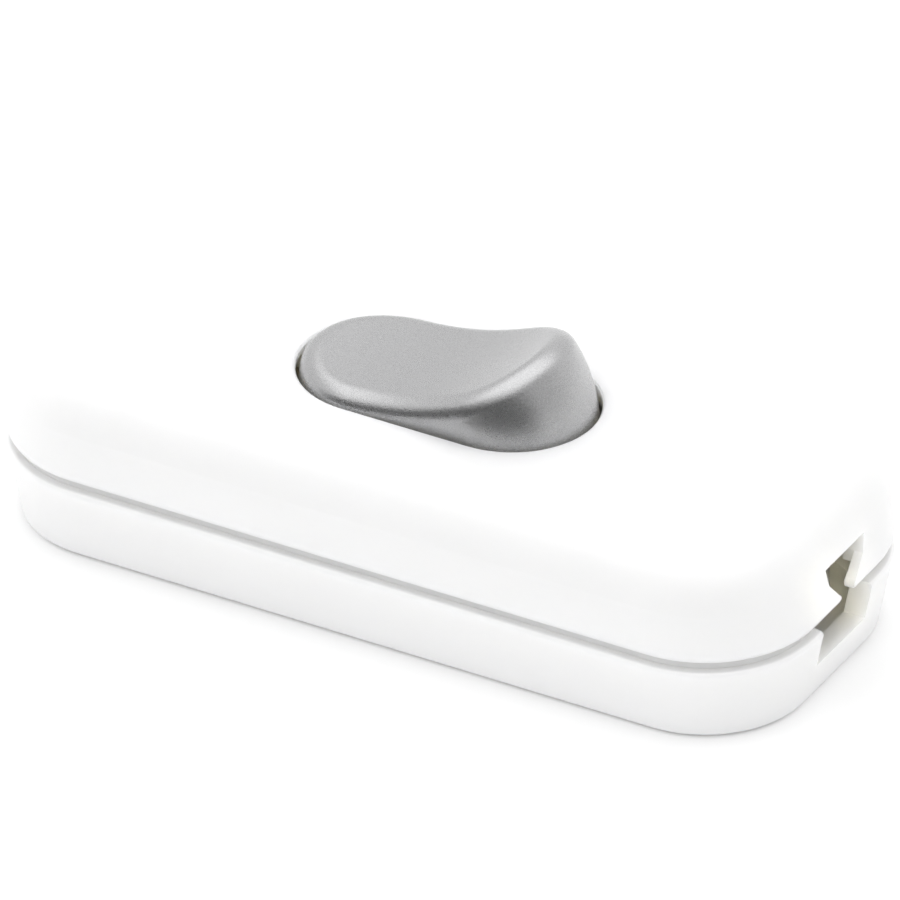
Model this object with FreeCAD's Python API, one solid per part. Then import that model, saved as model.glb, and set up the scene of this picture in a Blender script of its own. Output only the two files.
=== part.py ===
"""Inline cord switch: two-part housing, rocker and a double-pole see-saw contact set.

All sizes are in millimetres. X runs along the cord, Y across it, Z up from the underside.
"""
import FreeCAD, Part
import math
import os

# Housing
BODY_LENGTH = 72.0
BODY_WIDTH = 30.6
BODY_HEIGHT = 16.5
CORNER_RADIUS = 10.0
WALL = 1.9
FLOOR = 1.8
ROOF = 2.0
BASE_TAPER = 1.3
COVER_LEAN = 0.82
SHOULDER_RADIUS = 5.2
EDGE_ROUND = 0.4
COVER_EDGE_ROUND = 0.8

# Joint between base and cover
RIM_HEIGHT = 6.75
GROOVE_HEIGHT = 0.7
LIP_WALL = 0.9
LIP_CLEARANCE = 0.05
TONGUE_WALL = 0.8
TONGUE_RISE = 2.25

# Cord entry
ENTRY_WIDTH = 6.4
ENTRY_TOP = 11.85
NECK_WIDTH = 5.54
NECK_HEIGHT = 10.2
TOOTH_GAP = 2.1
TOOTH_DEPTH = 1.0
TOOTH_TIP_RISE = 0.73
NOTCH_WIDTH = 8.0
NOTCH_FLOOR = 3.3

# Rocker
APERTURE_LENGTH = 25.8
APERTURE_WIDTH = 14.4
APERTURE_LIP = 0.6
APERTURE_RELIEF = 0.5
APERTURE_BREAK = 0.15
ROCKER_GAP = 0.3
ROCKER_TILT = 13.0
PIVOT_DEPTH = 2.2
SCOOP_RADIUS = 27.0
SCOOP_VALLEY = 4.0
ROCKER_ROUND = 1.6
SKIRT_DROP = 2.0
ROCKER_WALL = 1.4
HUB_LENGTH = 6.0
HUB_DROP = 5.2
TRUNNION_RADIUS = 1.1
TRUNNION_LENGTH = 1.75
BEARING_CLEARANCE = 0.05
LUG_LENGTH = 5.6
LUG_WALL = 2.0

# Plungers and springs
POLE_OFFSET = 4.2
PLUNGER_RADIUS = 1.18
PLUNGER_CLEARANCE = 0.07
PLUNGER_GUIDE = 2.4
SPRING_LENGTH = 3.4
SPRING_RADIUS = 0.85
SPRING_WIRE = 0.14
SPRING_TURNS = 4

# See-saw levers and contacts
FULCRUM_HEIGHT = 5.5
LEVER_TILT = 7.0
LEVER_BEND = 12.0
LEVER_ARM = 7.0
LEVER_WIDTH = 3.4
STRIP_THICKNESS = 0.6
CONTACT_REACH = 6.0
CONTACT_RADIUS = 1.1
CONTACT_HEIGHT = 0.5
RIVET_RADIUS = 0.6
MOVING_GAP = 0.3
EAR_WIDTH = 0.5

# Terminals
BLOCK_SIZE = 5.0
BLOCK_HEIGHT = 6.0
BLOCK_SPACING = 0.6
BLOCK_MARGIN = 0.7
SPIGOT_RADIUS = 1.0
SPIGOT_DEPTH = 0.8
WIRE_HOLE_RADIUS = 1.4
WIRE_HOLE_HEIGHT = 2.2
TERMINAL_SCREW_RADIUS = 1.3
EARTH_WIDTH = 2.4
BARRIER_WALL = 0.6

# Cord clamps
CLAMP_WIDTH = 4.5
CLAMP_THICKNESS = 1.6
CLAMP_SEAT = 8.0
CLAMP_SCREW_OFFSET = 6.4
CLAMP_POST_RADIUS = 2.1
CLAMP_ARCH_RADIUS = 4.2
CLAMP_ARCH_HALF = 3.3
CLAMP_SCREW_RADIUS = 1.2
CLAMP_SCREW_LENGTH = 5.0

# Housing screws
SCREW_RADIUS = 1.45
SCREW_HEAD_RADIUS = 2.7
SCREW_HEAD_HEIGHT = 1.7
SCREW_RECESS = 2.3
SCREW_RECESS_MARGIN = 0.4
SCREW_EDGE = 1.1
SCREW_LENGTH = 9.2
PAD_WALL = 0.9
PAD_HEIGHT = 4.4
BOSS_RADIUS = 2.6
SEAT_GAP = 0.1

# Sizes that follow from the ones above
COVER_BOTTOM = RIM_HEIGHT + GROOVE_HEIGHT
CEILING = BODY_HEIGHT - ROOF
TONGUE_INSET = LIP_WALL + LIP_CLEARANCE
TONGUE_TOP = RIM_HEIGHT + TONGUE_RISE
PIVOT_HEIGHT = BODY_HEIGHT - PIVOT_DEPTH
ROCKER_SWING = math.hypot(APERTURE_LENGTH / 2, PIVOT_DEPTH - APERTURE_LIP) - ROCKER_GAP
ROCKER_HALF_WIDTH = APERTURE_WIDTH / 2 - ROCKER_GAP
BORE_RADIUS = PLUNGER_RADIUS + PLUNGER_CLEARANCE
BLOCK_X = APERTURE_LENGTH / 2 + BLOCK_MARGIN + BLOCK_SIZE / 2
EARTH_BLOCK_X = BLOCK_X + BLOCK_SIZE + BLOCK_SPACING
BLOCK_END = EARTH_BLOCK_X + BLOCK_SIZE / 2
END_WALL_X = BODY_LENGTH / 2 - BASE_TAPER - WALL
CLAMP_X = (BLOCK_END + END_WALL_X) / 2
RECESS_RADIUS = SCREW_HEAD_RADIUS + SCREW_RECESS_MARGIN
HOUSING_SCREW_X = EARTH_BLOCK_X + 0.3
HOUSING_SCREW_Y = BODY_WIDTH / 2 - BASE_TAPER - SCREW_EDGE - RECESS_RADIUS
POLES = {"live": -POLE_OFFSET, "neutral": POLE_OFFSET}
ENDS = {"left": -1, "right": 1}


def vec(x, y, z):
    """A point or direction."""
    return FreeCAD.Vector(x, y, z)


def box(x0, x1, y0, y1, z0, z1):
    """A block between two corners."""
    return Part.makeBox(x1 - x0, y1 - y0, z1 - z0, vec(x0, y0, z0))


def rod(radius, x, y, z0, z1):
    """An upright cylinder from z0 to z1."""
    return Part.makeCylinder(radius, z1 - z0, vec(x, y, z0))


def bar_y(radius, x, z, y0, y1):
    """A cylinder lying along Y."""
    return Part.makeCylinder(radius, y1 - y0, vec(x, y0, z), vec(0, 1, 0))


def merged(shapes):
    """One clean solid out of several that overlap."""
    whole = shapes[0].fuse(shapes[1:]) if len(shapes) > 1 else shapes[0]
    return whole.removeSplitter()


def turned(points):
    """A solid turned about Z from (radius, height) points."""
    wire = Part.makePolygon([vec(r, 0, z) for r, z in points + points[:1]])
    return Part.Face(wire).revolve(vec(0, 0, 0), vec(0, 0, 1), 360)


def edges_at(shape, height):
    """The edges of a shape that lie flat at one height."""
    return [e for e in shape.Edges if all(abs(v.Z - height) < 1e-6 for v in e.Vertexes)]


def shell_block(inset0, z0, inset1, z1):
    """A solid with the rounded plan of the housing whose sides lean from one inset to another."""
    cx = BODY_LENGTH / 2 - CORNER_RADIUS
    cy = BODY_WIDTH / 2 - CORNER_RADIUS
    corners = ((cx, cy), (-cx, cy), (-cx, -cy), (cx, -cy))
    outline = [(0, z0), (CORNER_RADIUS - inset0, z0), (CORNER_RADIUS - inset1, z1), (0, z1), (0, z0)]
    profile = Part.Face(Part.makePolygon([vec(r, 0, z) for r, z in outline]))
    pieces = [box(-cx, cx, -cy, cy, z0, z1)]
    for index, (x, y) in enumerate(corners):
        face = profile.copy()
        face.rotate(vec(0, 0, 0), vec(0, 0, 1), 90 * index)
        face.translate(vec(x, y, 0))
        pieces.append(face.revolve(vec(x, y, 0), vec(0, 0, 1), 90))
        face.rotate(vec(x, y, 0), vec(0, 0, 1), 90)
        next_x, next_y = corners[(index + 1) % 4]
        pieces.append(face.extrude(vec(next_x - x, next_y - y, 0)))
    return merged(pieces)


def base_inset(height):
    """How far the base wall has drawn in at a height."""
    return BASE_TAPER * (1 - height / RIM_HEIGHT)


def cover_inset(height):
    """How far the cover wall leans in at a height."""
    return COVER_LEAN * (height - COVER_BOTTOM) / (BODY_HEIGHT - COVER_BOTTOM)


def screw(shank_radius, length, head_radius, head_height, slot_width):
    """A slotted screw pointing down, with the underside of its head at zero."""
    points = [(0, -length), (shank_radius, -length), (shank_radius, 0), (head_radius, 0),
              (head_radius, head_height), (0, head_height)]
    half = slot_width / 2
    slot = box(-head_radius, head_radius, -half, half, head_height * 0.45, head_height * 2)
    return turned(points).cut(slot)


def placed(shape, x, y, z):
    """A copy of a shape moved to a place."""
    copy = shape.copy()
    copy.translate(vec(x, y, z))
    return copy


def screw_corners():
    """Where the two housing screws stand: opposite corners."""
    return ((-HOUSING_SCREW_X, HOUSING_SCREW_Y), (HOUSING_SCREW_X, -HOUSING_SCREW_Y))


def clamp_corners():
    """Where the four clamp screws stand."""
    across = (-CLAMP_SCREW_OFFSET, CLAMP_SCREW_OFFSET)
    return [(side * CLAMP_X, y) for side in ENDS.values() for y in across]


def lever_point(along, normal, side, tilt):
    """A point of a lever arm, from its bend, after the lever has tilted.

    along runs out on the arm, normal up from its underside, side is -1 left or 1 right.
    """
    bend = math.radians(LEVER_BEND)
    x = side * (along * math.cos(bend) - normal * math.sin(bend))
    z = along * math.sin(bend) + normal * math.cos(bend)
    turn = math.radians(tilt)
    return x * math.cos(turn) + z * math.sin(turn), z * math.cos(turn) - x * math.sin(turn)


CONTACT_X = lever_point(CONTACT_REACH, -CONTACT_HEIGHT, -1, -LEVER_TILT)[0]
CONTACT_CLOSED = lever_point(CONTACT_REACH - CONTACT_RADIUS, -CONTACT_HEIGHT, -1, -LEVER_TILT)[1]
STRIP_TOP = FULCRUM_HEIGHT + CONTACT_CLOSED - MOVING_GAP - CONTACT_HEIGHT
STRIP_BOTTOM = STRIP_TOP - STRIP_THICKNESS
REST_X = lever_point(CONTACT_REACH, 0, 1, LEVER_TILT)[0]
REST_TOP = FULCRUM_HEIGHT + lever_point(CONTACT_REACH - 0.8, 0, 1, LEVER_TILT)[1] - MOVING_GAP
TIP_STANDOFF = STRIP_THICKNESS + PLUNGER_RADIUS + MOVING_GAP
TIP_CENTRE = FULCRUM_HEIGHT + TIP_STANDOFF / math.cos(math.radians(LEVER_BEND))
PLUNGER_REACH = PIVOT_HEIGHT - TIP_CENTRE


def base_pads():
    """Raised seats for the strips, barriers between the poles and keepers under the rocker pins."""
    low = FLOOR - 0.4
    half = LEVER_WIDTH / 2 + 0.3
    outer = BLOCK_X + BLOCK_SIZE / 2
    inner = BLOCK_X - BLOCK_SIZE / 2
    spans = ((-outer, -inner), (inner, outer), (CONTACT_X - 1.8, CONTACT_X + 1.8), (-1.2, REST_X + 1.2))
    pads = []
    for y in POLES.values():
        pads += [box(x0, x1, y - half, y + half, low, STRIP_BOTTOM) for x0, x1 in spans]
        side = 1 if y > 0 else -1
        wall = sorted((side * (EARTH_WIDTH / 2 + 0.35), side * (EARTH_WIDTH / 2 + 0.35 + BARRIER_WALL)))
        pads.append(box(-LEVER_ARM - 2, LEVER_ARM + 2, wall[0], wall[1], low, FULCRUM_HEIGHT + 2.5))
        post = sorted((side * (APERTURE_WIDTH / 2 + 0.25), side * (APERTURE_WIDTH / 2 + LUG_WALL - 0.45)))
        top = PIVOT_HEIGHT - TRUNNION_RADIUS - BEARING_CLEARANCE
        pads.append(box(0.1 - TRUNNION_RADIUS, TRUNNION_RADIUS - 0.1, post[0], post[1], low, top))
    return pads


def base_posts():
    """Pads round the housing screws, posts for the clamp screws and the cradles under the cord."""
    low = FLOOR - 0.4
    posts = [rod(RECESS_RADIUS + PAD_WALL, x, y, low, PAD_HEIGHT) for x, y in screw_corners()]
    posts += [rod(CLAMP_POST_RADIUS, x, y, low, CLAMP_SEAT) for x, y in clamp_corners()]
    for side in ENDS.values():
        x = side * CLAMP_X
        posts.append(box(x - 1, x + 1, -CLAMP_SCREW_OFFSET, CLAMP_SCREW_OFFSET, low, NOTCH_FLOOR))
    return posts


def base_holes():
    """Screw holes, spigot holes and the cord notches in both ends."""
    holes = []
    for x, y in screw_corners():
        holes.append(rod(RECESS_RADIUS, x, y, -1, SCREW_RECESS))
        holes.append(rod(SCREW_RADIUS + 0.2, x, y, 0, PAD_HEIGHT + 1))
    for x, y in clamp_corners():
        bottom = CLAMP_SEAT + CLAMP_THICKNESS - CLAMP_SCREW_LENGTH
        holes.append(rod(CLAMP_SCREW_RADIUS, x, y, bottom, CLAMP_SEAT + 1))
    for side in ENDS.values():
        for y in POLES.values():
            bottom = STRIP_BOTTOM - SPIGOT_DEPTH
            holes.append(rod(SPIGOT_RADIUS, side * BLOCK_X, y, bottom, STRIP_BOTTOM + 1))
        holes.append(rod(SPIGOT_RADIUS, side * EARTH_BLOCK_X, 0, FLOOR - SPIGOT_DEPTH, FLOOR + 1))
        end = side * BODY_LENGTH / 2
        x0, x1 = sorted((end - side * 2 * WALL, end + side))
        holes.append(box(x0, x1, -NOTCH_WIDTH / 2, NOTCH_WIDTH / 2, NOTCH_FLOOR, TONGUE_TOP + 1))
    return holes


def make_base():
    """The lower shell with its tongue, seats, posts and cord notches."""
    outer = shell_block(BASE_TAPER, 0, 0, RIM_HEIGHT)
    outer = outer.makeFillet(EDGE_ROUND, edges_at(outer, RIM_HEIGHT))
    outer = outer.makeChamfer(EDGE_ROUND, edges_at(outer, 0))
    high = RIM_HEIGHT + 1
    inner = shell_block(base_inset(FLOOR) + WALL, FLOOR, base_inset(high) + WALL, high)
    tongue = shell_block(TONGUE_INSET, RIM_HEIGHT - 1, TONGUE_INSET, TONGUE_TOP)
    core_inset = TONGUE_INSET + TONGUE_WALL
    core = shell_block(core_inset, RIM_HEIGHT - 2, core_inset, TONGUE_TOP + 1)
    shell = merged([outer.cut(inner), tongue.cut(core)])
    reach = shell_block(base_inset(0) + 0.5, 0.5, base_inset(0) + 0.5, BODY_HEIGHT)
    posts = [post.common(reach) for post in base_posts()]
    return merged([shell] + posts + base_pads()).cut(base_holes())


def stadium_face(length, width, height):
    """A flat face with straight sides and round ends."""
    half = width / 2
    c = length / 2 - half
    wire = Part.Wire([
        Part.makeLine(vec(-c, -half, height), vec(c, -half, height)),
        Part.Arc(vec(c, -half, height), vec(c + half, 0, height), vec(c, half, height)).toShape(),
        Part.makeLine(vec(c, half, height), vec(-c, half, height)),
        Part.Arc(vec(-c, half, height), vec(-c - half, 0, height), vec(-c, -half, height)).toShape(),
    ])
    return Part.Face(wire)


def entry_slot(side):
    """The part of a cord entry that is cut from the cover."""
    x0 = side * (BODY_LENGTH / 2 - 2 * WALL)
    half, neck = ENTRY_WIDTH / 2, NECK_WIDTH / 2
    outline = [(-half, ENTRY_TOP), (half, ENTRY_TOP), (neck, NECK_HEIGHT), (neck, RIM_HEIGHT),
               (-neck, RIM_HEIGHT), (-neck, NECK_HEIGHT), (-half, ENTRY_TOP)]
    wire = Part.makePolygon([vec(x0, y, z) for y, z in outline])
    return Part.Face(wire).extrude(vec(side * (2 * WALL + 1), 0, 0))


def entry_tooth(side, hand):
    """One rounded tooth that leans into a cord entry just above the joint."""
    x0 = side * (BODY_LENGTH / 2 - TOOTH_DEPTH)
    root, tip = NECK_WIDTH / 2, TOOTH_GAP / 2
    low = COVER_BOTTOM

    def at(y, z):
        return vec(x0, hand * y, z)

    lower = at(tip + 0.42, low + 0.2)
    upper = at(tip + 0.27, low + TOOTH_TIP_RISE + 0.42)
    start = at(root + 0.4, low)
    end = at(root + 0.4, NECK_HEIGHT)
    wire = Part.Wire([
        Part.makeLine(start, at(root, low)), Part.makeLine(at(root, low), lower),
        Part.Arc(lower, at(tip, low + TOOTH_TIP_RISE), upper).toShape(),
        Part.makeLine(upper, at(root, NECK_HEIGHT)), Part.makeLine(at(root, NECK_HEIGHT), end),
        Part.makeLine(end, start),
    ])
    return Part.Face(wire).extrude(vec(side * (TOOTH_DEPTH + 1), 0, 0))


def bearing_lug(side):
    """A forked lug under the roof that takes one rocker pin from below."""
    y0, y1 = sorted((side * APERTURE_WIDTH / 2, side * (APERTURE_WIDTH / 2 + LUG_WALL)))
    lug = box(-LUG_LENGTH / 2, LUG_LENGTH / 2, y0, y1, PIVOT_HEIGHT - 2.4, CEILING + 0.5)
    radius = TRUNNION_RADIUS + BEARING_CLEARANCE
    slot = box(-radius, radius, y0, y1, PIVOT_HEIGHT - 4, PIVOT_HEIGHT)
    return lug, [slot, bar_y(radius, 0, PIVOT_HEIGHT, y0, y1)]


def make_cover():
    """The upper shell with its aperture, bearing lugs, screw bosses and toothed cord entries."""
    block = shell_block(0, COVER_BOTTOM, COVER_LEAN, BODY_HEIGHT)
    outer = block.makeFillet(SHOULDER_RADIUS, edges_at(block, BODY_HEIGHT))
    outer = outer.makeFillet(COVER_EDGE_ROUND, edges_at(outer, COVER_BOTTOM))
    low = COVER_BOTTOM - 1
    inner = shell_block(WALL + cover_inset(low), low, WALL + cover_inset(CEILING), CEILING)
    inner = inner.makeChamfer((SHOULDER_RADIUS - WALL) * (2 - math.sqrt(2)), edges_at(inner, CEILING))
    rabbet = shell_block(LIP_WALL, low, LIP_WALL, TONGUE_TOP + SEAT_GAP)
    shell = outer.cut([inner, rabbet])
    adds, cuts = [], []
    for x, y in screw_corners():
        adds.append(rod(BOSS_RADIUS, x, y, PAD_HEIGHT + SEAT_GAP, CEILING + 0.5))
        cuts.append(rod(SCREW_RADIUS, x, y, 0, SCREW_RECESS + SCREW_LENGTH + 0.5))
    for side in (-1, 1):
        lug, slots = bearing_lug(side)
        adds.append(lug)
        cuts += slots
    cuts.append(stadium_face(APERTURE_LENGTH, APERTURE_WIDTH, CEILING - 1).extrude(vec(0, 0, ROOF + 2)))
    relief = stadium_face(APERTURE_LENGTH + 2 * APERTURE_RELIEF, APERTURE_WIDTH, CEILING - 1)
    cuts.append(relief.extrude(vec(0, 0, ROOF + 1 - APERTURE_LIP)))
    cuts += [entry_slot(side) for side in ENDS.values()]
    cover = merged([shell] + adds).cut(cuts)
    teeth = [entry_tooth(side, hand).common(outer) for side in ENDS.values() for hand in (-1, 1)]
    cover = merged([cover] + teeth)
    rim = [e for e in edges_at(cover, BODY_HEIGHT) if e.BoundBox.XMax < APERTURE_LENGTH / 2 + 1
           and e.BoundBox.XMin > -APERTURE_LENGTH / 2 - 1]
    return cover.makeChamfer(APERTURE_BREAK, rim)


def rocker_barrel():
    """The body of the rocker, turned about its pivot so that the gap at its ends never changes."""
    half = ROCKER_HALF_WIDTH
    c = ROCKER_SWING - half
    wire = Part.Wire([
        Part.makeLine(vec(0, -half, 0), vec(c, -half, 0)),
        Part.Arc(vec(c, -half, 0), vec(c + half, 0, 0), vec(c, half, 0)).toShape(),
        Part.makeLine(vec(c, half, 0), vec(0, half, 0)),
        Part.makeLine(vec(0, half, 0), vec(0, -half, 0)),
    ])
    return Part.Face(wire).revolve(vec(0, 0, 0), vec(0, 1, 0), 360)


def rocker_cap():
    """The visible cap: a scooped top with rounded edges."""
    size = 2 * ROCKER_SWING
    cap = rocker_barrel().common(box(-size, size, -size, size, -SKIRT_DROP, size))
    axis = SCOOP_VALLEY + SCOOP_RADIUS
    cap = cap.cut(bar_y(SCOOP_RADIUS, 0, axis, -size, size))
    crest = [e for e in cap.Edges
             if all(abs(math.hypot(v.X, v.Z - axis) - SCOOP_RADIUS) < 1e-3 for v in e.Vertexes)]
    return cap.makeFillet(ROCKER_ROUND, crest)


def tilted(shape):
    """A shape of the rocker, drawn about its pivot, put at its rest angle."""
    copy = shape.copy()
    copy.rotate(vec(0, 0, 0), vec(0, 1, 0), -ROCKER_TILT)
    copy.translate(vec(0, 0, PIVOT_HEIGHT))
    return copy


def spring_top():
    """Height of the upper end of a spring above the pivot."""
    return PLUNGER_GUIDE - HUB_DROP + SPRING_LENGTH


def make_rocker():
    """The rocker with its hub, pins, plunger bores and hollowed underside."""
    half = ROCKER_HALF_WIDTH
    hub_half = POLE_OFFSET + BORE_RADIUS + 0.6
    hub = box(-HUB_LENGTH / 2, HUB_LENGTH / 2, -hub_half, hub_half, -HUB_DROP, 0)
    pins = bar_y(TRUNNION_RADIUS, 0, 0, -half - TRUNNION_LENGTH, half + TRUNNION_LENGTH)
    cuts = [rod(BORE_RADIUS, 0, y, -HUB_DROP - 1, spring_top()) for y in POLES.values()]
    depth = SCOOP_VALLEY - ROCKER_WALL
    wide = half - ROCKER_WALL - 0.8
    far = ROCKER_SWING - half + math.sqrt((half - ROCKER_WALL) ** 2 - wide ** 2)
    for side in ENDS.values():
        x0, x1 = sorted((side * (HUB_LENGTH / 2), side * far))
        cuts.append(box(x0, x1, -wide, wide, -SKIRT_DROP - 1, depth))
    return tilted(merged([rocker_cap(), hub, pins]).cut(cuts))


def make_plunger(y):
    """A round-nosed pin that rides in the hub of the rocker."""
    top = PLUNGER_GUIDE - HUB_DROP
    nose = vec(0, 0, -PLUNGER_REACH - PLUNGER_RADIUS)
    side = PLUNGER_RADIUS * math.sqrt(0.5)
    wire = Part.Wire([
        Part.makeLine(vec(0, 0, top), vec(PLUNGER_RADIUS, 0, top)),
        Part.makeLine(vec(PLUNGER_RADIUS, 0, top), vec(PLUNGER_RADIUS, 0, -PLUNGER_REACH)),
        Part.Arc(vec(PLUNGER_RADIUS, 0, -PLUNGER_REACH),
                 vec(side, 0, -PLUNGER_REACH - side), nose).toShape(),
        Part.makeLine(nose, vec(0, 0, top)),
    ])
    return tilted(placed(Part.Face(wire).revolve(vec(0, 0, 0), vec(0, 0, 1), 360), 0, y, 0))


def make_spring(y):
    """A coil spring between the plunger and the top of its bore."""
    height = SPRING_LENGTH - 2 * SPRING_WIRE
    helix = Part.makeHelix(height / SPRING_TURNS, height, SPRING_RADIUS)
    turns = [math.radians(60 * step) for step in range(7)]
    section = [vec(SPRING_RADIUS + SPRING_WIRE * math.cos(a), 0, SPRING_WIRE * math.sin(a)) for a in turns]
    coil = Part.Wire(helix).makePipeShell([Part.makePolygon(section)], True, True)
    return tilted(placed(coil, 0, y, PLUNGER_GUIDE - HUB_DROP + SPRING_WIRE))


def lever_pose(shape, y):
    """A shape of a lever, drawn about its bend, put at its rest angle on its fulcrum."""
    copy = shape.copy()
    copy.rotate(vec(0, 0, 0), vec(0, 1, 0), LEVER_TILT)
    copy.translate(vec(0, y, FULCRUM_HEIGHT))
    return copy


def on_left_arm(shape):
    """A shape drawn about Z put square on the left arm where the contact sits."""
    copy = shape.copy()
    copy.rotate(vec(0, 0, 0), vec(0, 1, 0), LEVER_BEND)
    x, z = lever_point(CONTACT_REACH, 0, -1, 0)
    copy.translate(vec(x, 0, z))
    return copy


def make_lever(y):
    """A bent see-saw blade with notches for its side ears and a hole for its contact."""
    outline = [lever_point(LEVER_ARM, 0, -1, 0), (0, 0), lever_point(LEVER_ARM, 0, 1, 0),
               lever_point(LEVER_ARM, STRIP_THICKNESS, 1, 0),
               (0, STRIP_THICKNESS / math.cos(math.radians(LEVER_BEND))),
               lever_point(LEVER_ARM, STRIP_THICKNESS, -1, 0)]
    wire = Part.makePolygon([vec(x, -LEVER_WIDTH / 2, z) for x, z in outline + outline[:1]])
    blade = Part.Face(wire).extrude(vec(0, LEVER_WIDTH, 0))
    notch = EAR_WIDTH / 2 + 2 * MOVING_GAP
    edge = LEVER_WIDTH / 2 - EAR_WIDTH - MOVING_GAP
    cuts = [box(-notch, notch, edge, LEVER_WIDTH, -1, 2), box(-notch, notch, -LEVER_WIDTH, -edge, -1, 2)]
    cuts.append(on_left_arm(rod(RIVET_RADIUS, 0, 0, -1, 2)))
    return lever_pose(blade.cut(cuts), y)


def rivet(head_height, grip, tail_height):
    """A contact rivet whose head faces down and whose tail is closed on top of the grip."""
    points = [(0, -head_height), (CONTACT_RADIUS, -head_height), (CONTACT_RADIUS, 0), (RIVET_RADIUS, 0),
              (RIVET_RADIUS, grip)]
    if tail_height:
        tail_top = grip + tail_height
        points += [(RIVET_RADIUS * 1.5, grip), (RIVET_RADIUS * 1.3, tail_top), (0, tail_top)]
    else:
        points += [(0, grip)]
    return turned(points)


def make_moving_contact(y):
    """The contact under the left arm of a lever."""
    return lever_pose(on_left_arm(rivet(CONTACT_HEIGHT, STRIP_THICKNESS, 0.25)), y)


def make_fixed_contact(y):
    """The contact on a line strip, facing up."""
    button = rivet(CONTACT_HEIGHT, STRIP_THICKNESS, 0)
    button.rotate(vec(0, 0, 0), vec(1, 0, 0), 180)
    return placed(button, CONTACT_X, y, STRIP_TOP)


def make_line_strip(y):
    """The strip from a line terminal to its fixed contact."""
    half = LEVER_WIDTH / 2
    strip = box(-BLOCK_X - BLOCK_SIZE / 2, CONTACT_X + 1.8, y - half, y + half, STRIP_BOTTOM, STRIP_TOP)
    holes = [rod(SPIGOT_RADIUS, -BLOCK_X, y, STRIP_BOTTOM - 1, STRIP_TOP + 1),
             rod(RIVET_RADIUS, CONTACT_X, y, STRIP_BOTTOM - 1, STRIP_TOP + 1)]
    return strip.cut(holes)


def make_load_strip(y):
    """The strip from a load terminal to the fulcrum, with its ridge, ears and lever rest."""
    half = LEVER_WIDTH / 2
    low = (STRIP_BOTTOM + STRIP_TOP) / 2
    strip = box(-1.2, BLOCK_X + BLOCK_SIZE / 2, y - half, y + half, STRIP_BOTTOM, STRIP_TOP)
    ridge_top = FULCRUM_HEIGHT - MOVING_GAP
    ridge_half = half - EAR_WIDTH - MOVING_GAP
    outline = [(-0.6, low), (0.6, low), (0.15, ridge_top), (-0.15, ridge_top), (-0.6, low)]
    wire = Part.makePolygon([vec(x, y - ridge_half, z) for x, z in outline])
    ridge = Part.Face(wire).extrude(vec(0, 2 * ridge_half, 0))
    ear_top = FULCRUM_HEIGHT + 3 * STRIP_THICKNESS
    ears = [box(-EAR_WIDTH / 2, EAR_WIDTH / 2, y - half, y - half + EAR_WIDTH, low, ear_top),
            box(-EAR_WIDTH / 2, EAR_WIDTH / 2, y + half - EAR_WIDTH, y + half, low, ear_top)]
    rest = box(REST_X - 0.5, REST_X + 0.5, y - 1.2, y + 1.2, low, REST_TOP)
    strip = merged([strip, ridge, rest] + ears)
    return strip.cut(rod(SPIGOT_RADIUS, BLOCK_X, y, STRIP_BOTTOM - 1, STRIP_TOP + 1))


def make_block(x, y, seat):
    """A terminal block with its wire hole, screw hole and spigot, standing on a strip."""
    half = BLOCK_SIZE / 2
    block = box(x - half, x + half, y - half, y + half, seat, seat + BLOCK_HEIGHT)
    block = block.makeChamfer(0.3, [e for e in block.Edges if e.BoundBox.ZMin > seat + 1e-3 or
                                    e.BoundBox.ZLength > 1])
    spigot = rod(SPIGOT_RADIUS, x, y, seat - STRIP_THICKNESS - SPIGOT_DEPTH, seat + 0.5)
    start = vec(x - half - 1, y, seat + WIRE_HOLE_HEIGHT)
    wire = Part.makeCylinder(WIRE_HOLE_RADIUS, BLOCK_SIZE + 2, start, vec(1, 0, 0))
    tapped = rod(TERMINAL_SCREW_RADIUS, x, y, seat + WIRE_HOLE_HEIGHT, seat + BLOCK_HEIGHT + 1)
    return merged([block, spigot]).cut([wire, tapped])


def make_earth_link():
    """The strip on the floor that carries the earth straight through."""
    half = BLOCK_SIZE / 2
    top = FLOOR + STRIP_THICKNESS
    far = EARTH_BLOCK_X + half
    parts = [box(-far, far, -EARTH_WIDTH / 2, EARTH_WIDTH / 2, FLOOR, top)]
    holes = []
    for side in ENDS.values():
        x = side * EARTH_BLOCK_X
        parts.append(box(x - half, x + half, -half, half, FLOOR, top))
        holes.append(rod(SPIGOT_RADIUS, x, 0, FLOOR - 1, top + 1))
    return merged(parts).cut(holes)


def block_places():
    """Every terminal block by name, with its place and the height of its seat."""
    places = {}
    for pole, y in POLES.items():
        places[pole + "_line_block"] = (-BLOCK_X, y, STRIP_TOP)
        places[pole + "_load_block"] = (BLOCK_X, y, STRIP_TOP)
    for name, side in ENDS.items():
        places["earth_block_" + name] = (side * EARTH_BLOCK_X, 0, FLOOR + STRIP_THICKNESS)
    return places


def make_terminal_screws():
    """One clamping screw in the top of each terminal block."""
    one = screw(TERMINAL_SCREW_RADIUS, BLOCK_HEIGHT - WIRE_HOLE_HEIGHT - 0.4, 2.0, 1.4, 0.7)
    places = block_places().values()
    return Part.makeCompound([placed(one, x, y, seat + BLOCK_HEIGHT) for x, y, seat in places])


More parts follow.
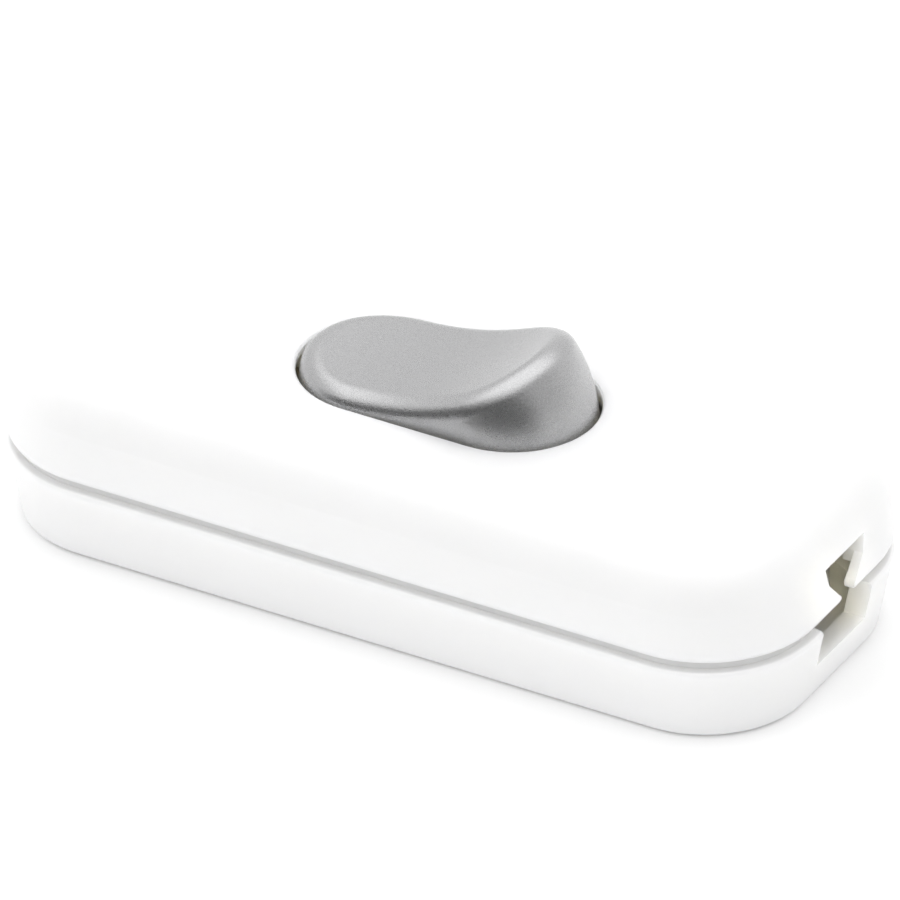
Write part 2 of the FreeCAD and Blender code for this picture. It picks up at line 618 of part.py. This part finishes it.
def make_cord_clamp(side):
    """An arched bar that holds the cord down on its cradle."""
    x0 = side * CLAMP_X - CLAMP_WIDTH / 2
    x1 = x0 + CLAMP_WIDTH
    reach = CLAMP_SCREW_OFFSET + 2.2
    axis = CLAMP_SEAT - math.sqrt(CLAMP_ARCH_RADIUS ** 2 - CLAMP_ARCH_HALF ** 2)
    top = CLAMP_SEAT + CLAMP_THICKNESS
    bar = box(x0, x1, -reach, reach, CLAMP_SEAT, top)
    bar = bar.makeFillet(1.5, [e for e in bar.Edges if e.BoundBox.ZLength > 1])
    start = vec(x0, 0, axis)
    arch = Part.makeCylinder(CLAMP_ARCH_RADIUS + CLAMP_THICKNESS, CLAMP_WIDTH, start, vec(1, 0, 0))
    arch = arch.common(box(x0, x1, -reach, reach, CLAMP_SEAT, BODY_HEIGHT))
    cuts = [Part.makeCylinder(CLAMP_ARCH_RADIUS, CLAMP_WIDTH, start, vec(1, 0, 0))]
    for y in (-CLAMP_SCREW_OFFSET, CLAMP_SCREW_OFFSET):
        cuts.append(rod(CLAMP_SCREW_RADIUS + 0.2, side * CLAMP_X, y, CLAMP_SEAT - 1, top + 1))
    return merged([bar, arch]).cut(cuts)


def make_clamp_screws():
    """Four screws that pull the cord clamps down."""
    one = screw(CLAMP_SCREW_RADIUS, CLAMP_SCREW_LENGTH, 2.0, 1.4, 0.7)
    return Part.makeCompound([placed(one, x, y, CLAMP_SEAT + CLAMP_THICKNESS) for x, y in clamp_corners()])


def make_housing_screws():
    """Two screws that go up through the base into the bosses of the cover."""
    one = screw(SCREW_RADIUS, SCREW_LENGTH, SCREW_HEAD_RADIUS, SCREW_HEAD_HEIGHT, 0.8)
    one.rotate(vec(0, 0, 0), vec(1, 0, 0), 180)
    return Part.makeCompound([placed(one, x, y, SCREW_RECESS) for x, y in screw_corners()])


def build():
    """Every node of the switch by name."""
    nodes = {"base_shell": make_base(), "cover_shell": make_cover(), "rocker": make_rocker(),
             "housing_screws": make_housing_screws(), "earth_link": make_earth_link(),
             "terminal_screws": make_terminal_screws(), "cord_clamp_screws": make_clamp_screws()}
    makers = {"plunger": make_plunger, "spring": make_spring, "lever": make_lever,
              "moving_contact": make_moving_contact, "fixed_contact": make_fixed_contact,
              "line_strip": make_line_strip, "load_strip": make_load_strip}
    for pole, y in POLES.items():
        for name, maker in makers.items():
            nodes[pole + "_" + name] = maker(y)
    for name, place in block_places().items():
        nodes[name] = make_block(*place)
    for name, side in ENDS.items():
        nodes["cord_clamp_" + name] = make_cord_clamp(side)
    return nodes


os.makedirs("parts", exist_ok=True)
for node, shape in build().items():
    shape.exportStep("parts/" + node + ".step")
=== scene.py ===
"""Looks of a white inline cord switch with a silver rocker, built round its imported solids."""
import logging
import math
from collections.abc import Mapping
from dataclasses import dataclass, field
from enum import Enum
from typing import Union

import bmesh
import bpy
from mathutils import Matrix, Vector


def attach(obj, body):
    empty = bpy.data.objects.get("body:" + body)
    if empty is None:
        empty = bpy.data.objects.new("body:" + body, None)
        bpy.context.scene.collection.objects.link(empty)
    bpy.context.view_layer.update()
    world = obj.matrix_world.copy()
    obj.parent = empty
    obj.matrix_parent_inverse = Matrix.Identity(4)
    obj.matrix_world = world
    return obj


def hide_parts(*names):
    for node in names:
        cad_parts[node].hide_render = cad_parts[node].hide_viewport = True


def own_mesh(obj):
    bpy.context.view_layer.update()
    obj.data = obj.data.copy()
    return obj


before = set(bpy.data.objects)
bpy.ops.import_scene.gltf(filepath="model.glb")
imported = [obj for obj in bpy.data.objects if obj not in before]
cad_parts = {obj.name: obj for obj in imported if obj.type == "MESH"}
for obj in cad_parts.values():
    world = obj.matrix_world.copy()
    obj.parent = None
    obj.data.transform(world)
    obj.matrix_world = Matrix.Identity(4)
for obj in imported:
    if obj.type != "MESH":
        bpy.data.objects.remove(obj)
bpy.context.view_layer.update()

MM = 0.001
WHITE = (1.0, 1.0, 1.0)
LOG = logging.getLogger("cord_switch")

Colour = tuple[float, float, float]
Point = tuple[float, float, float]
Span = tuple[float, float]
Operand = Union["Value", float]
Input = Union["Value", float, tuple]
Inputs = Mapping[Union[str, int], Input]


class Blend(Enum):
    """The sums that a shader expression can use."""

    ADD = "ADD"
    SUBTRACT = "SUBTRACT"
    MULTIPLY = "MULTIPLY"


class Slot(Enum):
    """The finishes of the switch, by the slots of its record."""

    SHELL = "white_plastic"
    ROCKER = "silver_paint"
    BRASS = "brass"
    CONTACT = "contact_silver"
    STEEL = "steel"
    CLAMP = "clamp_plastic"
    PIN = "pin_plastic"


class Pole(Enum):
    """The two switched wires."""

    LIVE = "live"
    NEUTRAL = "neutral"


class End(Enum):
    """The two ends of the housing."""

    LEFT = "left"
    RIGHT = "right"


class Value:
    """A shader socket whose Python operators add Math nodes."""

    def __init__(self, graph: "ShaderGraph", socket: bpy.types.NodeSocket) -> None:
        """Keep the graph that the socket belongs to.

        Args:
            graph: The graph that new Math nodes go into.
            socket: The output that this value stands for.
        """
        self.graph = graph
        self.socket = socket

    def __add__(self, other: Operand) -> "Value":
        """This value plus another."""
        return self.graph.math(Blend.ADD, self, other)

    def __radd__(self, other: Operand) -> "Value":
        """Another value plus this one."""
        return self.graph.math(Blend.ADD, other, self)

    def __sub__(self, other: Operand) -> "Value":
        """This value minus another."""
        return self.graph.math(Blend.SUBTRACT, self, other)

    def __rsub__(self, other: Operand) -> "Value":
        """Another value minus this one."""
        return self.graph.math(Blend.SUBTRACT, other, self)

    def __mul__(self, other: Operand) -> "Value":
        """This value times another."""
        return self.graph.math(Blend.MULTIPLY, self, other)

    def __rmul__(self, other: Operand) -> "Value":
        """Another value times this one."""
        return self.graph.math(Blend.MULTIPLY, other, self)


class ShaderGraph:
    """The nodes of one material or of the world."""

    def __init__(self, tree: bpy.types.NodeTree) -> None:
        """Start from an empty tree.

        Args:
            tree: The node tree to fill.
        """
        self.tree = tree
        tree.nodes.clear()

    def node(self, kind: str, settings: Mapping[str, object], inputs: Inputs) -> bpy.types.Node:
        """Add one node.

        Args:
            kind: Blender's name for the type of node.
            settings: Properties to set first, such as a Math node's operation.
            inputs: Values or links for its sockets, by name or number.

        Returns:
            The new node.
        """
        made = self.tree.nodes.new(kind)
        for name, setting in settings.items():
            setattr(made, name, setting)
        for key, given in inputs.items():
            if isinstance(given, Value):
                self.tree.links.new(given.socket, made.inputs[key])
            else:
                made.inputs[key].default_value = given
        return made

    def value(self, node: bpy.types.Node, output: Union[str, int] = 0) -> Value:
        """Wrap one output of a node."""
        return Value(self, node.outputs[output])

    def math(self, operation: Blend, first: Operand, second: Operand) -> Value:
        """Add a Math node on two values."""
        made = self.node("ShaderNodeMath", {"operation": operation.value}, {0: first, 1: second})
        return self.value(made)

    def place(self) -> Value:
        """Where a point lies on the object, in metres."""
        return self.value(self.node("ShaderNodeTexCoord", {}, {}), "Object")

    def height(self) -> Value:
        """How high a point lies on the object, in metres."""
        return self.value(self.node("ShaderNodeSeparateXYZ", {}, {0: self.place()}), "Z")

    def noise(self, size: float, detail: float = 2.0, stretch: Point = (1.0, 1.0, 1.0)) -> Value:
        """A cloudy pattern from 0 to 1.

        Args:
            size: The size of its cells in metres.
            detail: How many finer layers it has.
            stretch: How much finer it is along each axis.

        Returns:
            The pattern.
        """
        where = self.value(self.node("ShaderNodeMapping", {}, {"Vector": self.place(), "Scale": stretch}))
        made = self.node("ShaderNodeTexNoise", {}, {"Vector": where, "Scale": 1.0 / size, "Detail": detail})
        return self.value(made, "Fac")

    def mix(self, share: Operand, first: Input, second: Input) -> Value:
        """Blend two colours by a share from 0 to 1."""
        made = self.node("ShaderNodeMix", {"data_type": "RGBA"}, {0: share, 6: first, 7: second})
        return self.value(made, 2)

    def bump(self, height: Value, depth: float, strength: float) -> Value:
        """Turn a height into a normal.

        Args:
            height: The pattern of the surface.
            depth: How deep it is, in metres.
            strength: How much of it shows.

        Returns:
            The normal.
        """
        inputs = {"Height": height, "Distance": depth, "Strength": strength}
        return self.value(self.node("ShaderNodeBump", {}, inputs))

    def step(self, given: Value, low: float, high: float) -> Value:
        """A soft step from 0 at one value to 1 at another.

        Args:
            given: The value that changes.
            low: Where the step starts.
            high: Where it ends.

        Returns:
            The step.
        """
        inputs = {0: given, 1: low, 2: high, 3: 0.0, 4: 1.0}
        return self.value(self.node("ShaderNodeMapRange", {"interpolation_type": "SMOOTHSTEP"}, inputs))

    def surface(self, inputs: Inputs) -> None:
        """Close the graph with one shader.

        Args:
            inputs: Values or links for the shader's sockets.
        """
        shader = self.node("ShaderNodeBsdfPrincipled", {"subsurface_method": "BURLEY"}, inputs)
        self.node("ShaderNodeOutputMaterial", {}, {"Surface": self.value(shader)})


def new_graph(name: str) -> tuple[bpy.types.Material, ShaderGraph]:
    """Make a material and its empty graph.

    Args:
        name: The material's name.

    Returns:
        The material and the graph that fills it.
    """
    material = bpy.data.materials.new(name)
    material.use_nodes = True
    return material, ShaderGraph(material.node_tree)


def tone(colour: Colour, factor: float) -> tuple[float, float, float, float]:
    """A colour made lighter or darker, with full alpha."""
    return (*(min(1.0, channel * factor) for channel in colour), 1.0)


@dataclass(frozen=True)
class MouldedPlastic:
    """A moulded surface with faint tone clouds, a fine spark-eroded grain and optional painted shade in the
    parting seam's height band.
    """

    name: str
    colour: Colour
    roughness: float
    clouding: float = 0.012
    cloud_size: float = 9 * MM
    grain_size: float = 0.22 * MM
    grain_depth: float = 0.004 * MM
    grain_strength: float = 0.35
    grain_gloss: float = 0.08
    cloud_gloss: float = 0.05
    coat: float = 0.0
    coat_roughness: float = 0.12
    refraction: float = 1.49
    milk: float = 0.0
    milk_depth: float = 3.0 * MM
    milk_tint: Colour = (1.0, 0.97, 0.85)
    seam: Span = (0.0, 0.0)
    # share of painted shade: the seam's height band gets a darker base colour that stands in for the
    # groove's shadow
    seam_painted_shade: float = 0.0
    seam_shade: float = 0.4
    seam_blur: float = 0.05 * MM

    def material(self) -> bpy.types.Material:
        """Build the finish.

        Returns:
            The material.
        """
        material, graph = new_graph(self.name)
        clouds = graph.noise(self.cloud_size, 3.0)
        grain = graph.noise(self.grain_size, 2.0)
        pale, deep = tone(self.colour, 1 + self.clouding), tone(self.colour, 1 - self.clouding)
        colour = graph.mix(clouds, deep, pale)
        # Painted shade: darken the base colour in the parting groove's height band in place of the shadow
        # that falls in the groove.
        if self.seam_painted_shade:
            height, (low, high) = graph.height(), self.seam
            above = graph.step(height, low - self.seam_blur, low + self.seam_blur)
            below = 1 - graph.step(height, high - self.seam_blur, high + self.seam_blur)
            colour = graph.mix(self.seam_painted_shade * above * below, colour, tone(self.colour, self.seam_shade))
        gloss = self.grain_gloss * (grain - 0.5) + self.cloud_gloss * (clouds - 0.5)
        graph.surface({
            "Base Color": colour,
            "Roughness": self.roughness + gloss,
            "Normal": graph.bump(grain, self.grain_depth, self.grain_strength),
            "Coat Weight": self.coat,
            "Coat Roughness": self.coat_roughness,
            "Subsurface Weight": self.milk,
            "Subsurface Radius": self.milk_tint,
            "Subsurface Scale": self.milk_depth,
            "IOR": self.refraction,
        })
        return material


@dataclass(frozen=True)
class FlakePaint:
    """Silver paint: fine bright and dark flakes under a satin lacquer."""

    name: str
    dark: Colour
    light: Colour
    roughness: float
    flake_size: float = 0.13 * MM
    fine_size: float = 0.0585 * MM
    fine_share: float = 0.38
    flake_edge: Span = (0.38, 0.62)
    cloud_size: float = 2.6 * MM
    metal: float = 0.85
    depth: float = 0.03 * MM
    strength: float = 0.9
    fine_gloss: float = 0.10
    cloud_gloss: float = 0.06
    lacquer: float = 0.12
    lacquer_roughness: float = 0.35

    def material(self) -> bpy.types.Material:
        """Build the finish.

        Returns:
            The material.
        """
        material, graph = new_graph(self.name)
        flakes = graph.noise(self.flake_size, 1.0)
        fine = graph.noise(self.fine_size, 1.0)
        clouds = graph.noise(self.cloud_size, 2.0)
        speck = (1 - self.fine_share) * flakes + self.fine_share * fine
        sharp = graph.step(speck, *self.flake_edge)
        gloss = self.fine_gloss * (fine - 0.5) + self.cloud_gloss * (clouds - 0.5)
        graph.surface({
            "Base Color": graph.mix(sharp, (*self.dark, 1.0), (*self.light, 1.0)),
            "Metallic": self.metal,
            "Roughness": self.roughness + gloss,
            "Normal": graph.bump(speck, self.depth, self.strength),
            "Coat Weight": self.lacquer,
            "Coat Roughness": self.lacquer_roughness,
        })
        return material


@dataclass(frozen=True)
class WorkedMetal:
    """Pressed or turned metal with drawn lines and faint stains."""

    name: str
    colour: Colour
    roughness: float
    line_size: float = 0.12 * MM
    line_run: Point = (0.12, 1.0, 1.0)
    line_depth: float = 0.004 * MM
    line_strength: float = 0.5
    line_gloss: float = 0.16
    stain_size: float = 2.2 * MM
    stain_tones: Span = (0.88, 1.06)
    stain_gloss: float = 0.10

    def material(self) -> bpy.types.Material:
        """Build the finish.

        Returns:
            The material.
        """
        material, graph = new_graph(self.name)
        lines = graph.noise(self.line_size, 2.0, self.line_run)
        stains = graph.noise(self.stain_size, 3.0)
        deep, pale = (tone(self.colour, factor) for factor in self.stain_tones)
        gloss = self.line_gloss * (lines - 0.5) + self.stain_gloss * (stains - 0.5)
        graph.surface({
            "Base Color": graph.mix(stains, deep, pale),
            "Metallic": 1.0,
            "Roughness": self.roughness + gloss,
            "Normal": graph.bump(lines, self.line_depth, self.line_strength),
        })
        return material


FINISHES = {
    # The white shells carry painted shade in the parting seam's height band, standing in for the groove's
    # shadow.
    Slot.SHELL: MouldedPlastic("white_plastic", (0.865, 0.865, 0.866), 0.34, coat=0.15, milk=0.75,
                               seam=(6.7 * MM, 7.5 * MM), seam_painted_shade=0.3),
    Slot.ROCKER: FlakePaint("silver_paint", (0.415, 0.415, 0.42), (0.485, 0.485, 0.49), 0.28),
    Slot.BRASS: WorkedMetal("brass", (0.78, 0.57, 0.26), 0.30),
    Slot.CONTACT: WorkedMetal("contact_silver", (0.88, 0.87, 0.84), 0.24),
    Slot.STEEL: WorkedMetal("zinc_steel", (0.66, 0.66, 0.64), 0.32),
    Slot.CLAMP: MouldedPlastic("buff_plastic", (0.74, 0.68, 0.47), 0.48, clouding=0.06, cloud_size=3 * MM),
    Slot.PIN: MouldedPlastic("nylon", (0.82, 0.79, 0.70), 0.42, clouding=0.04, cloud_size=2 * MM),
}


@dataclass
class Wardrobe:
    """Every finish of the switch, made once."""

    made: dict[Slot, bpy.types.Material] = field(default_factory=dict)

    def get(self, slot: Slot) -> bpy.types.Material:
        """The material of one slot, built the first time it is asked for.

        Args:
            slot: The finish.

        Returns:
            Its material.
        """
        if slot not in self.made:
            self.made[slot] = FINISHES[slot].material()
        return self.made[slot]

    def dress(self, slot: Slot, *nodes: str) -> None:
        """Give nodes of the frame their finish.

        Args:
            slot: The finish.
            nodes: Names of CAD nodes.
        """
        for name in nodes:
            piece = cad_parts[name]
            for holder in piece.material_slots:
                holder.material = self.get(slot)
            LOG.info("dressed %s in %s", name, slot.value)


@dataclass
class Housing:
    """The two white shells and the screws that hold them together."""

    shells: tuple[str, ...] = ("base_shell", "cover_shell")
    screws: str = "housing_screws"

    def dress(self, wardrobe: Wardrobe) -> None:
        """Finish the shells and their screws."""
        wardrobe.dress(Slot.SHELL, *self.shells)
        wardrobe.dress(Slot.STEEL, self.screws)


@dataclass
class CoilSpring:
    """A round-wire spring with a closed turn at each end, between the rocker and one plunger."""

    pole: Pole
    pivot_height: float = 14.3 * MM
    pole_offset: float = 4.2 * MM
    tilt: float = -13.0
    bottom: float = -2.77 * MM
    top: float = 0.59 * MM
    radius: float = 0.85 * MM
    wire: float = 0.14 * MM
    closed_pitch: float = 0.29 * MM
    turns: int = 5
    rings_per_turn: int = 30
    sides: int = 12
    squeezed: float = 0.815

    def build(self) -> bpy.types.Object:
        """Wind the wire and set it in the rocker.

        Returns:
            The spring.
        """
        coil = bpy.data.objects.new(f"{self.pole.value}_coil", self._mesh())
        bpy.context.scene.collection.objects.link(coil)
        side = -self.pole_offset if self.pole is Pole.LIVE else self.pole_offset
        place = Matrix.Translation((0.0, side, self.pivot_height))
        place = place @ Matrix.Rotation(math.radians(self.tilt), 4, "Y")
        coil.matrix_world = place
        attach(coil, "rocker")
        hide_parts(f"{self.pole.value}_spring")
        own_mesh(coil)
        return coil

    def dress(self, wardrobe: Wardrobe) -> None:
        """Build the spring and finish its wire.

        Args:
            wardrobe: The finishes.
        """
        coil = self.build()
        coil.data.materials.append(wardrobe.get(Slot.STEEL))
        LOG.info("built %s in %s", coil.name, Slot.STEEL.value)

    def _height(self, turn: float) -> float:
        """How high the middle of the wire is.

        Args:
            turn: How many turns from the lower end.

        Returns:
            The height above the pivot.
        """
        low, high = self.bottom + self.wire, self.top - self.wire
        rise = (high - low - 2 * self.closed_pitch) / (self.turns - 2)
        closed = min(turn, 1.0) + max(turn - self.turns + 1, 0.0)
        return low + closed * self.closed_pitch + min(max(turn - 1, 0.0), self.turns - 2) * rise

    def _ring(self, work: bmesh.types.BMesh, turn: float) -> list[bmesh.types.BMVert]:
        """One ring of points round the wire.

        Args:
            work: The mesh that takes the points.
            turn: How many turns from the lower end.

        Returns:
            The points.
        """
        around, ring = 2 * math.pi * turn, []
        for index in range(self.sides):
            angle = 2 * math.pi * index / self.sides
            reach = self.radius + self.wire * math.cos(angle)
            height = self._height(turn) + self.wire * math.sin(angle)
            ring.append(work.verts.new((reach * math.cos(around), reach * math.sin(around), height)))
        return ring

    def _mesh(self) -> bpy.types.Mesh:
        """The wire as a closed tube.

        Returns:
            The mesh.
        """
        work = bmesh.new()
        count = self.turns * self.rings_per_turn
        rings = [self._ring(work, index / self.rings_per_turn) for index in range(count + 1)]
        for lower, upper in zip(rings, rings[1:]):
            for index in range(self.sides):
                after = (index + 1) % self.sides
                work.faces.new((lower[index], lower[after], upper[after], upper[index])).smooth = True
        for ring in (rings[0], rings[-1]):
            work.faces.new(ring)
        bmesh.ops.recalc_face_normals(work, faces=work.faces)
        mesh = bpy.data.meshes.new(f"{self.pole.value}_coil")
        work.to_mesh(mesh)
        work.free()
        return mesh


@dataclass
class Rocker:
    """The silver rocker with its plungers and springs."""

    key: str = "rocker"

    def dress(self, wardrobe: Wardrobe) -> None:
        """Finish the rocker and its plungers, and make their springs.

        Args:
            wardrobe: The finishes.
        """
        wardrobe.dress(Slot.ROCKER, self.key)
        wardrobe.dress(Slot.PIN, *(f"{pole.value}_plunger" for pole in Pole))
        for pole in Pole:
            CoilSpring(pole).dress(wardrobe)


@dataclass
class ContactSet:
    """Strips, levers and contacts of both poles, and the earth link."""

    brass: tuple[str, ...] = ("line_strip", "load_strip", "line_block", "load_block", "lever")
    silver: tuple[str, ...] = ("fixed_contact", "moving_contact")

    def dress(self, wardrobe: Wardrobe) -> None:
        """Finish the metal of both poles and the earth.

        Args:
            wardrobe: The finishes.
        """
        for pole in Pole:
            wardrobe.dress(Slot.BRASS, *(f"{pole.value}_{piece}" for piece in self.brass))
            wardrobe.dress(Slot.CONTACT, *(f"{pole.value}_{piece}" for piece in self.silver))
        wardrobe.dress(Slot.BRASS, "earth_link", *(f"earth_block_{end.value}" for end in End))
        wardrobe.dress(Slot.STEEL, "terminal_screws")


@dataclass
class CordGrips:
    """The clamp bars behind both cord entries."""

    screws: str = "cord_clamp_screws"

    def dress(self, wardrobe: Wardrobe) -> None:
        """Finish the bars and their screws."""
        wardrobe.dress(Slot.CLAMP, *(f"cord_clamp_{end.value}" for end in End))
        wardrobe.dress(Slot.STEEL, self.screws)


@dataclass
class Studio:
    """Pale floor, soft lights and the camera of the photograph."""

    azimuth: float = 29.09
    elevation: float = 32.5
    distance: float = 1.965
    target: Point = (0.0, 0.0, 10.2 * MM)
    pixels_per_metre: float = 12623.0
    image: float = 900.0
    centre: Span = (448.9, 450.9)
    sensor: float = 36.0
    clip: Span = (0.05, 20.0)
    floor_size: float = 4.0
    floor_drop: float = 0.02 * MM
    floor_greys: Span = (0.88, 0.90)
    floor_cloud: float = 0.4
    floor_roughness: float = 0.8
    floor_glow: float = 0.08
    sky: float = 0.945
    sky_right: float = 0.62
    dim_way: Span = (0.87, -0.5)
    dim_edge: Span = (0.2, 0.9)
    overhead_place: Point = (0.0, 0.0, 1.0)
    overhead_aim: Point = (0.0, 0.0, 0.0)
    overhead_size: float = 1.6
    overhead_power: float = 7.0
    flag_front: float = -45 * MM
    flag_span: Span = (-70 * MM, 115 * MM)
    flag_rise: Span = (1 * MM, 44 * MM)
    flag_grey: float = 0.02
    flag_roughness: float = 0.9
    fill_place: Point = (96.5 * MM, -111 * MM, 88.8 * MM)
    fill_aim: Point = (35 * MM, -0.4 * MM, 8.2 * MM)
    fill_power: float = 0.62
    fill_tint: Colour = (1.0, 0.92, 0.62)
    fill_cone: float = 1.8
    fill_edge: float = 0.8
    fill_radius: float = 2 * MM

    def build(self) -> None:
        """Set up floor, light and camera."""
        self._floor()
        self._world()
        self._flag()
        self._overhead()
        self._fill()
        self._camera()
        LOG.info("studio ready")

    def _floor(self) -> None:
        """Make the pale floor."""
        mesh = bpy.data.meshes.new("floor")
        work = bmesh.new()
        bmesh.ops.create_grid(work, x_segments=1, y_segments=1, size=self.floor_size / 2)
        work.to_mesh(mesh)
        work.free()
        floor = bpy.data.objects.new("floor", mesh)
        floor.location.z = -self.floor_drop
        bpy.context.scene.collection.objects.link(floor)
        material, graph = new_graph("floor")
        clouds = graph.noise(self.floor_cloud, 2.0)
        deep, pale = (tone(WHITE, grey) for grey in self.floor_greys)
        graph.surface({
            "Base Color": graph.mix(clouds, deep, pale),
            "Roughness": self.floor_roughness,
            "Emission Color": tone(WHITE, 1.0),
            "Emission Strength": self.floor_glow,
        })
        mesh.materials.append(material)

    def _world(self) -> None:
        """Light the whole room softly, a little less from the near right corner."""
        world = bpy.data.worlds.new("studio")
        world.use_nodes = True
        bpy.context.scene.world = world
        graph = ShaderGraph(world.node_tree)
        way = graph.value(graph.node("ShaderNodeTexCoord", {}, {}), "Generated")
        along = graph.node("ShaderNodeSeparateXYZ", {}, {0: way})
        right = self.dim_way[0] * graph.value(along, "X") + self.dim_way[1] * graph.value(along, "Y")
        full, dim = (self._glow(graph, strength) for strength in (self.sky, self.sky_right))
        sky = graph.node("ShaderNodeMixShader", {}, {0: graph.step(right, *self.dim_edge), 1: full, 2: dim})
        graph.node("ShaderNodeOutputWorld", {}, {"Surface": graph.value(sky)})

    @staticmethod
    def _glow(graph: ShaderGraph, strength: float) -> Value:
        """Even white light of one strength."""
        inputs = {"Color": tone(WHITE, 1.0), "Strength": strength}
        return graph.value(graph.node("ShaderNodeBackground", {}, inputs))

    def _flag(self) -> None:
        """Stand a dark card in front that only reflections show, for the dark side of the silver rocker."""
        mesh = bpy.data.meshes.new("flag")
        (left, right), (low, high) = self.flag_span, self.flag_rise
        corners = [(left, low), (right, low), (right, high), (left, high)]
        mesh.from_pydata([(x, self.flag_front, z) for x, z in corners], [], [(0, 1, 2, 3)])
        card = bpy.data.objects.new("flag", mesh)
        bpy.context.scene.collection.objects.link(card)
        material, graph = new_graph("flag")
        graph.surface({"Base Color": tone(WHITE, self.flag_grey), "Roughness": self.flag_roughness})
        mesh.materials.append(material)
        card.visible_camera = False
        card.visible_diffuse = False
        card.visible_shadow = False

    def _overhead(self) -> None:
        """Hang a large square light over the switch."""
        lamp = bpy.data.lights.new("overhead", "AREA")
        lamp.size = self.overhead_size
        lamp.energy = self.overhead_power
        self._hang(lamp, self.overhead_place, self.overhead_aim)

    def _fill(self) -> None:
        """Point a small warm lamp into the near cord entry, to light the hollow behind it."""
        lamp = bpy.data.lights.new("fill", "SPOT")
        lamp.energy = self.fill_power
        lamp.color = self.fill_tint
        lamp.spot_size = math.radians(self.fill_cone)
        lamp.spot_blend = self.fill_edge
        lamp.shadow_soft_size = self.fill_radius
        self._hang(lamp, self.fill_place, self.fill_aim)

    @staticmethod
    def _hang(lamp: bpy.types.Light, place: Point, aim: Point) -> None:
        """Hang a lamp and turn it to what it lights.

        Args:
            lamp: The lamp.
            place: Where it hangs, in metres.
            aim: The point that it faces.
        """
        holder = bpy.data.objects.new(lamp.name, lamp)
        holder.location = place
        way = Vector(aim) - Vector(place)
        holder.rotation_euler = way.to_track_quat("-Z", "Y").to_euler()
        bpy.context.scene.collection.objects.link(holder)

    def _camera(self) -> None:
        """Stand the camera where the photograph was taken."""
        lens = bpy.data.cameras.new("photograph")
        lens.sensor_width = self.sensor
        lens.lens = self.pixels_per_metre * self.distance * self.sensor / self.image
        lens.shift_x = 0.5 - self.centre[0] / self.image
        lens.shift_y = self.centre[1] / self.image - 0.5
        lens.clip_start, lens.clip_end = self.clip
        holder = bpy.data.objects.new("photograph", lens)
        turn, rise = math.radians(self.azimuth), math.radians(self.elevation)
        back = Vector((math.sin(turn) * math.cos(rise), -math.cos(turn) * math.cos(rise), math.sin(rise)))
        holder.location = Vector(self.target) + back * self.distance
        holder.rotation_euler = (-back).to_track_quat("-Z", "Y").to_euler()
        bpy.context.scene.collection.objects.link(holder)
        bpy.context.scene.camera = holder


def main() -> None:
    """Build and dress the switch, then the studio."""
    logging.basicConfig(level=logging.INFO, format="%(name)s: %(message)s")
    wardrobe = Wardrobe()
    for part in (Housing(), Rocker(), ContactSet(), CordGrips()):
        part.dress(wardrobe)
    Studio().build()
    bpy.context.scene.view_settings.view_transform = "Standard"


if __name__ == "__main__":
    main()
